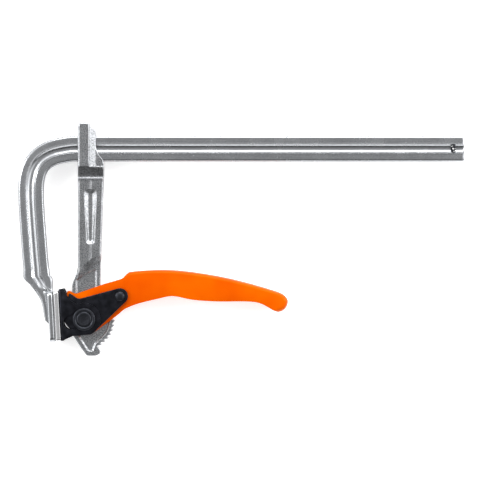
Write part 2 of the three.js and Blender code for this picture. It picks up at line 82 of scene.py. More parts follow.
RAIL_Y = 143.9
RAIL_END = 320.5
JAW_TILT = radians(3.2)
ANVIL_FACE = 25.4
ANVIL_BACK = 29.8
JAW_TOP = 25.0
JAW_BOTTOM = -17.4
PAD_FACE = 24.2
YOKE_WEB = (18.2, 20.2)
YOKE_TOP = 26.4
YOKE_SIDE = (10.2, 12.7)
CAM_SIDE = (7.2, 9.9)
CAM_RISE = 4.5
CHEEK_OUTER = 6.9
GRIP_HALF_WIDTH = 10.0
SHEET = 2.0
MAIN_HOLE = 6.8
PAWL_PIN = (30.1, 19.4)
PAWL_HOLE = 2.9
PAD_RIVET_HEIGHTS = (16, -11)
PAD_RIVET_HOLE = 2.7
STOP_PIN_X = 311.3
TOOTH_TIP = 26.2
TOOTH_ROOT = 23.7
WEB_HALF = 4.5
SHAFT_HALF = 7.3
HEAD_HALF = 10.0


def at(x, y, z=0.0):
    return PIN + Vector((x, y, z)) * MM


def on_jaw(distance, height):
    """A point by its distance from the main pin towards the anvil and its height along the jaw"""
    c, s = cos(JAW_TILT), sin(JAW_TILT)
    return (-c * distance - s * height, -s * distance + c * height)


# ---------------------------------------------------------------- drawing helpers


def arc(cx, cy, radius, start, end, steps):
    turns = [radians(start + (end - start) * i / steps) for i in range(steps + 1)]
    return [(cx + radius * cos(t), cy + radius * sin(t)) for t in turns]


def circle(cx, cy, radius, steps):
    return arc(cx, cy, radius, 0, 360 - 360 / steps, steps - 1)


def flowing(points, steps):
    """Points on a smooth curve through the given ones, with the given steps between each two"""
    ends = [points[0], *points, points[-1]]
    out = []
    for a, b, c, d in zip(ends, ends[1:], ends[2:], ends[3:]):
        for i in range(steps):
            t = i / steps
            out.append(tuple(
                0.5 * (2 * q + (r - p) * t + (2 * p - 5 * q + 4 * r - s) * t * t
                       + (3 * q - p - 3 * r + s) * t ** 3)
                for p, q, r, s in zip(a, b, c, d)))
    return out + [tuple(points[-1])]


def rounded(points, radii, steps=5):
    """The same corners, each rounded off"""
    if not isinstance(radii, (list, tuple)):
        radii = [radii] * len(points)
    out = []
    for i, corner in enumerate(points):
        if not radii[i]:
            out.append(corner)
            continue
        here = Vector(corner)
        before = (Vector(points[i - 1]) - here).normalized()
        after = (Vector(points[(i + 1) % len(points)]) - here).normalized()
        half = before.angle(after) / 2
        reach = radii[i] * cos(half) / sin(half)
        start, end = here + before * reach, here + after * reach
        for k in range(steps + 1):
            t = k / steps
            p = start.lerp(here, t).lerp(here.lerp(end, t), t)
            out.append((p.x, p.y))
    return out


def inset(points, distance):
    """Moves each corner of an outline sideways, to the left of the way it is drawn"""
    out = []
    for i, here in enumerate(points):
        before = Vector(here) - Vector(points[i - 1])
        after = Vector(points[(i + 1) % len(points)]) - Vector(here)
        side = (before.normalized() + after.normalized()).normalized()
        stretch = max(cos(before.angle(after) / 2), 0.6)
        out.append((here[0] - side.y * distance / stretch, here[1] + side.x * distance / stretch))
    return out


def smoothstep(value, low, high):
    t = min(max((value - low) / (high - low), 0.0), 1.0)
    return t * t * (3 - 2 * t)


def between(table, value):
    """Reads a value from a short table of (key, value) pairs, in rising order"""
    for (k0, v0), (k1, v1) in zip(table, table[1:]):
        if value <= k1:
            t = min(max((value - k0) / (k1 - k0), 0.0), 1.0)
            return v0 + (v1 - v0) * t
    return table[-1][1]


# ---------------------------------------------------------------- modelling helpers


def start_piece():
    bpy.ops.object.select_all(action="DESELECT")


def only(piece):
    bpy.ops.object.select_all(action="DESELECT")
    piece.select_set(True)
    bpy.context.view_layer.objects.active = piece


def edit(select="SELECT"):
    bpy.ops.object.mode_set(mode="EDIT")
    bpy.ops.mesh.select_mode(type="VERT")
    bpy.ops.mesh.select_all(action=select)


def done():
    bpy.ops.object.mode_set(mode="OBJECT")


def choose(piece, kind, test):
    """Open a piece for editing with only the faces or edges that pass a test selected"""
    only(piece)
    bpy.ops.object.mode_set(mode="EDIT")
    bpy.ops.mesh.select_mode(type=kind)
    bpy.ops.mesh.select_all(action="DESELECT")
    opened = bmesh.from_edit_mesh(piece.data)
    for element in opened.faces if kind == "FACE" else opened.edges:
        if test(element):
            element.select_set(True)
    bmesh.update_edit_mesh(piece.data)


def draw(name, points):
    """Draws a line point by point; the new piece stays open for editing, all of it selected"""
    start_piece()
    bpy.ops.mesh.primitive_plane_add(size=MM, location=points[0])
    piece = bpy.context.object
    piece.name = name
    bpy.ops.object.transform_apply(location=True, rotation=True, scale=True)
    edit()
    bpy.ops.mesh.merge(type="CENTER")
    for here, there in zip(points, points[1:]):
        bpy.ops.mesh.extrude_region_move(TRANSFORM_OT_translate={"value": there - here})
    bpy.ops.mesh.select_all(action="SELECT")
    return piece


def turn_outwards():
    """Turns the faces of the open piece outwards and closes it"""
    bpy.ops.mesh.select_all(action="SELECT")
    bpy.ops.mesh.normals_make_consistent(inside=False)
    done()


def raised(name, points, move):
    """An outline that is drawn, filled and extruded by one straight move"""
    piece = draw(name, points)
    bpy.ops.mesh.remove_doubles(threshold=1e-7)
    bpy.ops.mesh.edge_face_add()
    bpy.ops.mesh.select_all(action="SELECT")
    bpy.ops.mesh.extrude_region_move(TRANSFORM_OT_translate={"value": move})
    turn_outwards()
    return piece


def prism(name, outline, low, high):
    """A flat outline in (x, y), raised from one height to another"""
    return raised(name, [at(x, y, low) for x, y in outline], at(0, 0, high) - at(0, 0, low))


def jaw_block(name, outline, near, far):
    """A block standing on the jaw: outline in (height, z), between two distances from the pin"""
    return raised(name, [at(*on_jaw(near, h), z) for h, z in outline], at(*on_jaw(far, 0)) - at(*on_jaw(near, 0)))


def skin(name, rings):
    """For sections that change along their run: a grid is added and laid over the rings, its seam is
    merged and each end is filled. Its UV map holds the share of the way round and the metres along."""
    around, along = len(rings[0]), len(rings)
    start_piece()
    bpy.ops.mesh.primitive_grid_add(x_subdivisions=around, y_subdivisions=along - 1, size=1)
    piece = bpy.context.object
    piece.name = name
    mesh = piece.data
    run = [0.0]
    for a, b in zip(rings, rings[1:]):
        run.append(run[-1] + (sum(b, Vector()) / around - sum(a, Vector()) / around).length)
    for vertex in mesh.vertices:
        j, i = divmod(vertex.index, around + 1)
        vertex.co = rings[j][i % around]
    uv = mesh.uv_layers.active.data
    for loop in mesh.loops:
        j, i = divmod(loop.vertex_index, around + 1)
        uv[loop.index].uv = (i / around, run[j])
    edit()
    bpy.ops.mesh.remove_doubles(threshold=1e-7)
    done()

    def on_ring(edge, ring):
        return edge.is_boundary and all(min((v.co - p).length for p in ring) < 2e-6 for v in edge.verts)

    for ring in (rings[0], rings[-1]):
        choose(piece, "EDGE", lambda edge, ring=ring: on_ring(edge, ring))
        bpy.ops.mesh.edge_face_add()
        done()
    edit()
    turn_outwards()
    return piece


def modify(piece, kind, **settings):
    only(piece)
    modifier = piece.modifiers.new(kind.title(), kind)
    for key, value in settings.items():
        setattr(modifier, key, value)
    bpy.ops.object.modifier_apply(modifier=modifier.name)


def cut(piece, *cutters, operation="DIFFERENCE"):
    for cutter in cutters:
        modify(piece, "BOOLEAN", operation=operation, object=cutter, solver="EXACT")
        bpy.data.objects.remove(cutter, do_unlink=True)
    return piece


def join(piece, *others):
    only(piece)
    for other in others:
        other.select_set(True)
    bpy.ops.object.join()
    return piece


def soften(piece, width, segments=3, angle=35):
    modify(piece, "BEVEL", width=width * MM, segments=segments, limit_method="ANGLE",
           angle_limit=radians(angle), harden_normals=False, miter_outer="MITER_ARC")
    return piece


def smooth(piece, angle=35):
    only(piece)
    bpy.ops.object.shade_smooth_by_angle(angle=radians(angle))
    return piece


def turned(name, profile, x, y, steps=72, angle=tau):
    """A profile of (radius, z) points, drawn and spun about an axis along z"""
    piece = draw(name, [at(x + radius, y, z) for radius, z in profile])
    bpy.ops.mesh.spin(steps=steps, angle=angle, center=at(x, y, 0), axis=(0, 0, 1))
    bpy.ops.mesh.select_all(action="SELECT")
    bpy.ops.mesh.remove_doubles(threshold=2e-6)
    turn_outwards()
    return piece


def drill(piece, radius, x, y, steps):
    """Drills through a piece along z"""
    cut(piece, turned("drill", [(0, -20), (radius, -20), (radius, 20), (0, 20)], x, y, steps))


def drill_pad_rivets(piece):
    """Drills the two rivet holes square to the jaw"""
    for height in PAD_RIVET_HEIGHTS:
        cut(piece, jaw_block("drill", circle(height, 0, PAD_RIVET_HOLE, 32), 10, 30))


def dress(piece, body, material, slot, *nodes):
    """Gives a finished piece its body and its finish, and hides the frame nodes that it stands for"""
    piece.data.materials.clear()
    piece.data.materials.append(material)
    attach(piece, body)
    if nodes:
        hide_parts(*nodes)


# ---------------------------------------------------------------- finishes


def colour(hexadecimal):
    """An sRGB hex colour as linear light"""
    channels = [int(hexadecimal[i:i + 2], 16) / 255 for i in (1, 3, 5)]
    return tuple(c / 12.92 if c <= 0.04045 else ((c + 0.055) / 1.055) ** 2.4 for c in channels) + (1.0,)


def node(tree, kind, inputs=None, **settings):
    """Adds one shader node with its settings, and links or sets its inputs"""
    made = tree.nodes.new("ShaderNode" + kind)
    for key, value in settings.items():
        setattr(made, key, value)
    for key, value in (inputs or {}).items():
        if isinstance(value, bpy.types.NodeSocket):
            tree.links.new(value, made.inputs[key])
        else:
            made.inputs[key].default_value = value
    return made


def new_finish(name):
    material = bpy.data.materials.new(name)
    material.use_nodes = True
    tree = material.node_tree
    tree.nodes.clear()
    return material, tree


def finish_with(tree, shader):
    node(tree, "OutputMaterial", {"Surface": shader.outputs["BSDF"]})


def per_mm(size):
    """The scale that makes a noise pattern repeat about once every so many millimetres"""
    return 1 / (size * MM)


def drawn_steel(name):
    """Cold-drawn bar with a bright zinc plate: fine lines along the draw, faint cloudy patches"""
    material, tree = new_finish(name)
    uv = node(tree, "UVMap")
    place = node(tree, "TexCoord")
    # die lines 0.35 mm apart across the bar, some 40 mm long
    lines = node(tree, "Mapping", {"Vector": uv.outputs["UV"], "Scale": (190.0, 25.0, 1.0)})
    drawn = node(tree, "TexNoise", {"Vector": lines.outputs["Vector"], "Scale": 1.0, "Detail": 3.0})
    grain = node(tree, "TexNoise", {"Vector": place.outputs["Object"], "Scale": per_mm(0.7), "Detail": 2.0})
    cloud = node(tree, "TexNoise", {"Vector": place.outputs["Object"], "Scale": per_mm(14), "Detail": 3.0})
    tone = node(tree, "ValToRGB", {"Fac": grain.outputs["Fac"]})
    tone.color_ramp.elements[0].color = colour("#989a9d")
    tone.color_ramp.elements[1].color = colour("#afb1b4")
    tone.color_ramp.elements[0].position = 0.3
    tone.color_ramp.elements[1].position = 0.7
    streaked = node(tree, "Mix", {"Factor": 0.3, 6: tone.outputs["Color"], 7: drawn.outputs["Fac"]},
                    data_type="RGBA", blend_type="SOFT_LIGHT")
    rough = node(tree, "MapRange", {"Value": cloud.outputs["Fac"], "From Min": 0.3, "From Max": 0.7,
                                    "To Min": 0.22, "To Max": 0.3})
    relief = node(tree, "Math", {0: drawn.outputs["Fac"], 1: grain.outputs["Fac"]}, operation="ADD")
    bump = node(tree, "Bump", {"Height": relief.outputs["Value"], "Strength": 0.06, "Distance": 0.0001})
    finish_with(tree, node(tree, "BsdfPrincipled", {
        "Base Color": streaked.outputs[2], "Metallic": 1.0, "Roughness": rough.outputs["Result"],
        "Normal": bump.outputs["Normal"]}))
    return material


def forged_steel(name):
    """Drop forging, shot-blasted and zinc plated: coarse pitted grain, paler on the convex edges, partly wear from
    rubbing and partly a painted highlight
    """
    material, tree = new_finish(name)
    place = node(tree, "TexCoord")
    # blasting grit of 0.6 mm, over flow marks of 6 mm
    grit = node(tree, "TexNoise", {"Vector": place.outputs["Object"], "Scale": per_mm(0.9), "Detail": 3.0,
                                   "Roughness": 0.65})
    flow = node(tree, "TexNoise", {"Vector": place.outputs["Object"], "Scale": per_mm(7), "Detail": 3.0})
    edge = node(tree, "NewGeometry")
    # convex edges are painted paler: partly wear from rubbing, partly a painted highlight along every edge
    edge_wear_and_highlight = node(tree, "MapRange", {"Value": edge.outputs["Pointiness"], "From Min": 0.505, "From Max": 0.56})
    tone = node(tree, "ValToRGB", {"Fac": grit.outputs["Fac"]})
    tone.color_ramp.elements[0].color = colour("#636466")
    tone.color_ramp.elements[1].color = colour("#b3b5b8")
    tone.color_ramp.elements[0].position = 0.36
    tone.color_ramp.elements[1].position = 0.66
    wear_and_highlight_tone = node(tree, "Mix", {"Factor": edge_wear_and_highlight.outputs["Result"], 6: tone.outputs["Color"],
                                7: colour("#c9cbce")}, data_type="RGBA")
    rough = node(tree, "MapRange", {"Value": flow.outputs["Fac"], "From Min": 0.3, "From Max": 0.7,
                                    "To Min": 0.28, "To Max": 0.38})
    relief = node(tree, "Math", {0: grit.outputs["Fac"], 1: flow.outputs["Fac"]}, operation="ADD")
    bump = node(tree, "Bump", {"Height": relief.outputs["Value"], "Strength": 0.35, "Distance": 0.0002})
    finish_with(tree, node(tree, "BsdfPrincipled", {
        "Base Color": wear_and_highlight_tone.outputs[2], "Metallic": 1.0, "Roughness": rough.outputs["Result"],
        "Normal": bump.outputs["Normal"]}))
    return material


def blackened_steel(name):
    """Hardened plate, chemically blackened and oiled: near black, a cool sheen"""
    material, tree = new_finish(name)
    place = node(tree, "TexCoord")
    grain = node(tree, "TexNoise", {"Vector": place.outputs["Object"], "Scale": per_mm(0.6), "Detail": 3.0})
    smear = node(tree, "TexNoise", {"Vector": place.outputs["Object"], "Scale": per_mm(6), "Detail": 3.0})
    tone = node(tree, "ValToRGB", {"Fac": smear.outputs["Fac"]})
    tone.color_ramp.elements[0].color = colour("#1f2024")
    tone.color_ramp.elements[1].color = colour("#2c2d33")
    tone.color_ramp.elements[0].position = 0.35
    tone.color_ramp.elements[1].position = 0.7
    rough = node(tree, "MapRange", {"Value": smear.outputs["Fac"], "From Min": 0.3, "From Max": 0.7,
                                    "To Min": 0.3, "To Max": 0.42})
    bump = node(tree, "Bump", {"Height": grain.outputs["Fac"], "Strength": 0.25, "Distance": 0.0001})
    finish_with(tree, node(tree, "BsdfPrincipled", {
        "Base Color": tone.outputs["Color"], "Metallic": 1.0, "Roughness": rough.outputs["Result"],
        "Normal": bump.outputs["Normal"]}))
    return material


def turned_black_steel(name, centre):
    """Turned pin, blackened: fine rings from the lathe around its middle"""
    material, tree = new_finish(name)
    place = node(tree, "TexCoord")
    moved = node(tree, "Mapping", {"Vector": place.outputs["Object"], "Location": tuple(-centre)})
    flat = node(tree, "VectorMath", {0: moved.outputs["Vector"], 1: (1.0, 1.0, 0.0)}, operation="MULTIPLY")
    reach = node(tree, "VectorMath", {0: flat.outputs["Vector"]}, operation="LENGTH")
    # one tool mark every 0.35 mm
    turns = node(tree, "Math", {0: reach.outputs["Value"], 1: tau * per_mm(0.35)}, operation="MULTIPLY")
    wave = node(tree, "Math", {0: turns.outputs["Value"]}, operation="SINE")
    grain = node(tree, "TexNoise", {"Vector": place.outputs["Object"], "Scale": per_mm(0.8), "Detail": 2.0})
    tone = node(tree, "ValToRGB", {"Fac": grain.outputs["Fac"]})
    tone.color_ramp.elements[0].color = colour("#202125")
    tone.color_ramp.elements[1].color = colour("#3a3c41")
    bump = node(tree, "Bump", {"Height": wave.outputs["Value"], "Strength": 0.12, "Distance": 0.0001})
    rough = node(tree, "MapRange", {"Value": grain.outputs["Fac"], "To Min": 0.3, "To Max": 0.44})
    finish_with(tree, node(tree, "BsdfPrincipled", {
        "Base Color": tone.outputs["Color"], "Metallic": 1.0, "Roughness": rough.outputs["Result"],
        "Normal": bump.outputs["Normal"]}))
    return material


def ground_steel(name):
    """Milled and polished bright steel: long fine scratches, clear reflections"""
    material, tree = new_finish(name)
    place = node(tree, "TexCoord")
    long_way = node(tree, "Mapping", {"Vector": place.outputs["Object"], "Scale": (1.0, 0.04, 1.0)})
    scratch = node(tree, "TexNoise", {"Vector": long_way.outputs["Vector"], "Scale": per_mm(0.5), "Detail": 3.0})
    tone = node(tree, "ValToRGB", {"Fac": scratch.outputs["Fac"]})
    tone.color_ramp.elements[0].color = colour("#cfd0d2")
    tone.color_ramp.elements[1].color = colour("#ededee")
    rough = node(tree, "MapRange", {"Value": scratch.outputs["Fac"], "To Min": 0.16, "To Max": 0.3})
    bump = node(tree, "Bump", {"Height": scratch.outputs["Fac"], "Strength": 0.1, "Distance": 0.0001})
    finish_with(tree, node(tree, "BsdfPrincipled", {
        "Base Color": tone.outputs["Color"], "Metallic": 1.0, "Roughness": rough.outputs["Result"],
        "Normal": bump.outputs["Normal"]}))
    return material


def orange_powder_coat(name):
    """Baked powder coat on pressed sheet: even colour, soft gloss, a fine orange-peel surface"""
    material, tree = new_finish(name)
    place = node(tree, "TexCoord")
    peel = node(tree, "TexNoise", {"Vector": place.outputs["Object"], "Scale": per_mm(1.6), "Detail": 1.0})
    drift = node(tree, "TexNoise", {"Vector": place.outputs["Object"], "Scale": per_mm(35), "Detail": 2.0})
    tone = node(tree, "ValToRGB", {"Fac": drift.outputs["Fac"]})
    tone.color_ramp.elements[0].color = colour("#bd4200")
    tone.color_ramp.elements[1].color = colour("#c85200")
    tone.color_ramp.elements[0].position = 0.35
    tone.color_ramp.elements[1].position = 0.65
    rough = node(tree, "MapRange", {"Value": peel.outputs["Fac"], "To Min": 0.3, "To Max": 0.37})
    bump = node(tree, "Bump", {"Height": peel.outputs["Fac"], "Strength": 0.08, "Distance": 0.0003})
    finish_with(tree, node(tree, "BsdfPrincipled", {
        "Base Color": tone.outputs["Color"], "Metallic": 0.0, "Roughness": rough.outputs["Result"],
        "Specular IOR Level": 0.5, "Specular Tint": colour("#ffa028"), "Normal": bump.outputs["Normal"]}))
    return material


def spring_wire(name):
    """Hard-drawn spring wire, lightly oiled"""
    material, tree = new_finish(name)
    place = node(tree, "TexCoord")
    grain = node(tree, "TexNoise", {"Vector": place.outputs["Object"], "Scale": per_mm(0.5), "Detail": 3.0})
    tone = node(tree, "ValToRGB", {"Fac": grain.outputs["Fac"]})
    tone.color_ramp.elements[0].color = colour("#6f7073")
    tone.color_ramp.elements[1].color = colour("#a8a9ab")
    rough = node(tree, "MapRange", {"Value": grain.outputs["Fac"], "To Min": 0.22, "To Max": 0.36})
    bump = node(tree, "Bump", {"Height": grain.outputs["Fac"], "Strength": 0.15, "Distance": 0.0001})
    finish_with(tree, node(tree, "BsdfPrincipled", {
        "Base Color": tone.outputs["Color"], "Metallic": 1.0, "Roughness": rough.outputs["Result"],
        "Normal": bump.outputs["Normal"]}))
    return material


def light_table(name):
    """White acrylic lit from below: even, pale and without hard shadows"""
    material, tree = new_finish(name)
    place = node(tree, "TexCoord")
    grain = node(tree, "TexNoise", {"Vector": place.outputs["Object"], "Scale": per_mm(2), "Detail": 2.0})
    bump = node(tree, "Bump", {"Height": grain.outputs["Fac"], "Strength": 0.02, "Distance": 0.0002})
    finish_with(tree, node(tree, "BsdfPrincipled", {
        "Base Color": colour("#e4e4e4"), "Roughness": 0.9, "Specular IOR Level": 0.1,
        "Emission Color": colour("#ffffff"), "Emission Strength": 0.55, "Normal": bump.outputs["Normal"]}))
    return material


RAIL_FINISH = drawn_steel("zinc_plated_drawn_steel")
FORGED_FINISH = forged_steel("blasted_drop_forging")
BLACK_FINISH = blackened_steel("oiled_black_oxide_plate")
PIN_FINISH = turned_black_steel("turned_black_oxide_pin", PIN)
RIVET_FINISH = turned_black_steel("headed_black_oxide_rivet", at(*PAWL_PIN))
BRIGHT_FINISH = ground_steel("ground_bright_steel")
ORANGE_FINISH = orange_powder_coat("orange_powder_coat")
WIRE_FINISH = spring_wire("oiled_spring_wire")

# ---------------------------------------------------------------- rail with fixed arm and jaw


def rail_half_section():
    """From the middle of the inner edge, round the wide side, to the middle of the outer edge"""
    edge = rounded([(11, 0), (11, 5.25), (4.6, 5.25)], [0, 2.6, 0], 6)[1:-1] + [(5.6, 5.25)]
    hollow = [(4.6 * sin(a), 8.35 - 4.6 * cos(a)) for a in (radians(46 - 5.1 * k) for k in range(9))]
    groove = [(4.5, 5.26), (4.0, 5.43), (3.75, 5.43), (3.5, 5.26), *hollow]
    upper = [(11, 0), (11, 1.3), *edge, *groove]
    return upper + [(0, 3.75)] + [(-u, v) for u, v in reversed(upper)]


def jaw_half_section(height, count):
    """The T of plate and rib at one height, with as many points as the rail's half section"""
    back = between([(-17.4, 29.8), (-3.0, 29.85), (-1.7, 31.0), (0.7, 33.3), (4.6, 34.1), (11.4, 34.8),
                    (18.0, 36.1), (21.0, 37.6), (24.9, 39.9), (31.7, 44.5), (36.0, 48.4)], height)
    wide = between([(-17.4, 10.2), (-17.1, 11.4), (-16.4, 12.4), (-15.2, 13.1), (-13.6, 13.3), (20.8, 13.3),
                    (22.6, 13.1), (23.8, 12.4), (24.5, 11.4), (24.9, 10.2), (25.3, 5.6), (40.0, 5.25)], height)
    rib = 5.25 if back > 30.5 else 4.2
    plate = min(wide, 13.3)
    depth = back - ANVIL_BACK
    profile = [
        (ANVIL_FACE, 0), (ANVIL_FACE, plate * 0.5), (ANVIL_FACE, plate - 1.1), (ANVIL_FACE + 0.3, plate - 0.4),
        (ANVIL_FACE + 1.0, plate), (ANVIL_BACK - 0.9, plate), (ANVIL_BACK - 0.25, plate - 0.3),
        (ANVIL_BACK, plate - 1.0), (ANVIL_BACK + depth * 0.05, rib + (plate - rib) * 0.45),
        (ANVIL_BACK + depth * 0.16, rib + (plate - rib) * 0.16), (ANVIL_BACK + depth * 0.34, rib),
        (ANVIL_BACK + depth * 0.5, rib), (ANVIL_BACK + depth * 0.72, rib), (back - depth * 0.12, rib - 0.3),
        (back - depth * 0.03, rib - 1.1), (back, rib - 2.4), (back, 0),
    ]
    # share the points out along the profile
    keys = [k / (len(profile) - 1) for k in range(len(profile))]
    depths, widths = ([(key, p[axis]) for key, p in zip(keys, profile)] for axis in (0, 1))
    shares = [i / (count - 1) for i in range(count)]
    return [(between(depths, share), between(widths, share)) for share in shares]


def whole_ring(half, place):
    """Mirrors a half section through the middle plane and places it"""
    mirrored = [(u, -v) for u, v in reversed(half[1:-1])]
    return [place(u, v) for u, v in half + mirrored]


def build_rail():
    half = rail_half_section()
    bend = flowing([(-6, 143.9), (-11, 143.75), (-17, 142.9), (-26, 140.8), (-33.8, 137), (-39.2, 132),
                    (-42.8, 125.3), (-44.7, 117.5), (-45.3, 109), (-44.8, 94), (-43.4, 73.6), (-41.8, 53.3),
                    (-40.9, 43.5)], 5)
    straight = [(RAIL_END - 30 * i, RAIL_Y) for i in range(11)] + [(5, RAIL_Y)]
    path = straight + bend
    rings = []
    for i, (x, y) in enumerate(path):
        ahead = Vector(path[min(i + 1, len(path) - 1)]) - Vector(path[max(i - 1, 0)])
        tx, ty = ahead.normalized()
        rings.append(whole_ring(half, lambda u, v: at(x - ty * u, y + tx * u, v)))
    # the sawn end has its edges broken
    first = [p.copy() for p in rings[0]]
    middle = at(RAIL_END, RAIL_Y)
    rings[0] = [middle + (p - middle) * 0.87 for p in first]
    for depth, share in ((0.25, 0.93), (0.7, 0.97), (1.3, 0.99), (2.0, 1.0)):
        rings.insert(len(rings) - len(path) + 1, [middle + (p - middle) * share - Vector((depth * MM, 0, 0))
                                                  for p in first])
    # below the arm the bar is forged out: groove and lands run over into rib and plate
    tx, ty = (Vector(path[-1]) - Vector(path[-2])).normalized()
    heights = [38.4, 36.6, 34.6, 32.4, 30, 28, 26.6, 25.8, 25.4, 25.1, 24.9, 24.5, 23.8, 22.6, 20.8, 18, 14.5, 11,
               7.5, 4.6, 2.6, 0.7, -0.6, -1.7, -2.5, -3.2, -6, -10, -13.6, -15.2, -16.4, -17.1, -17.4]
    inner = [(25.0, ANVIL_FACE), (26.0, ANVIL_FACE + 0.1), (33.0, ANVIL_FACE - 0.6), (36.6, ANVIL_FACE - 0.1),
             (38.6, ANVIL_FACE + 1.6), (44.0, ANVIL_FACE + 2.4)]
    outer = [(25.0, 39.9), (31.7, 44.6), (34.6, 47.6), (36.4, 49.2), (38.6, 49.9), (44.0, 50.0)]
    for h in heights:
        forged = jaw_half_section(h, len(half))
        amount = 1 - smoothstep(h, 25.6, 41.0)
        low, high = between(inner, h), between(outer, h)
        ring = []
        for (u, v), (d, w) in zip(half, forged):
            bar = (low + (11 - u) / 22 * (high - low), v)
            if h > 25.2:
                t = 1 - smoothstep(h, 24.0, 36.0)
                shallow = (bar[0], v + (5.25 - v) * (t if abs(u) < 4.6 else 0))
                full = (low + (11 - u) / 22 * (high - low), min(shallow[1], 5.4))
                blend = smoothstep(25.8 - h, -4.0, 0.6)
                ring.append((full[0] * (1 - blend) + d * blend, full[1] * (1 - blend) + w * blend))
            else:
                ring.append((d, w))
        rings.append(whole_ring(ring, lambda d, w: at(*on_jaw(d, h), w)))
    rail = skin("rail_and_fixed_jaw", rings)
    drill(rail, 2.5, STOP_PIN_X, RAIL_Y, 40)
    smooth(rail, 28)
    dress(rail, "rail", RAIL_FINISH, "drawn_steel", "rail_bar")


build_rail()

stop_pin = turned("rolled_end_stop", [(0.8, -6.3), (1.1, -6.6), (1.9, -6.6), (2.2, -6.3), (2.2, 6.3), (1.9, 6.6),
                                      (1.1, 6.6), (0.8, 6.3), (0.8, -6.3)], STOP_PIN_X, RAIL_Y, 44, radians(346))
only(stop_pin)
edit()
bpy.ops.mesh.select_all(action="DESELECT")
bpy.ops.mesh.select_non_manifold(extend=False, use_verts=False)
bpy.ops.mesh.edge_face_add()
turn_outwards()
smooth(stop_pin, 40)
dress(stop_pin, "rail", PIN_FINISH, "pin_steel", "end_stop_pin")

# ---------------------------------------------------------------- sliding arm


def tooth_outline():
    out = []
    for i in range(11):
        tip = -56.2 + 9 * i
        for radius, angle in ((TOOTH_TIP, tip - 0.6), (TOOTH_TIP, tip), (TOOTH_ROOT + 0.25, tip + 1.0),
                              (TOOTH_ROOT, tip + 1.5)):
            out.append((radius * cos(radians(angle)), radius * sin(radians(angle))))
    return out


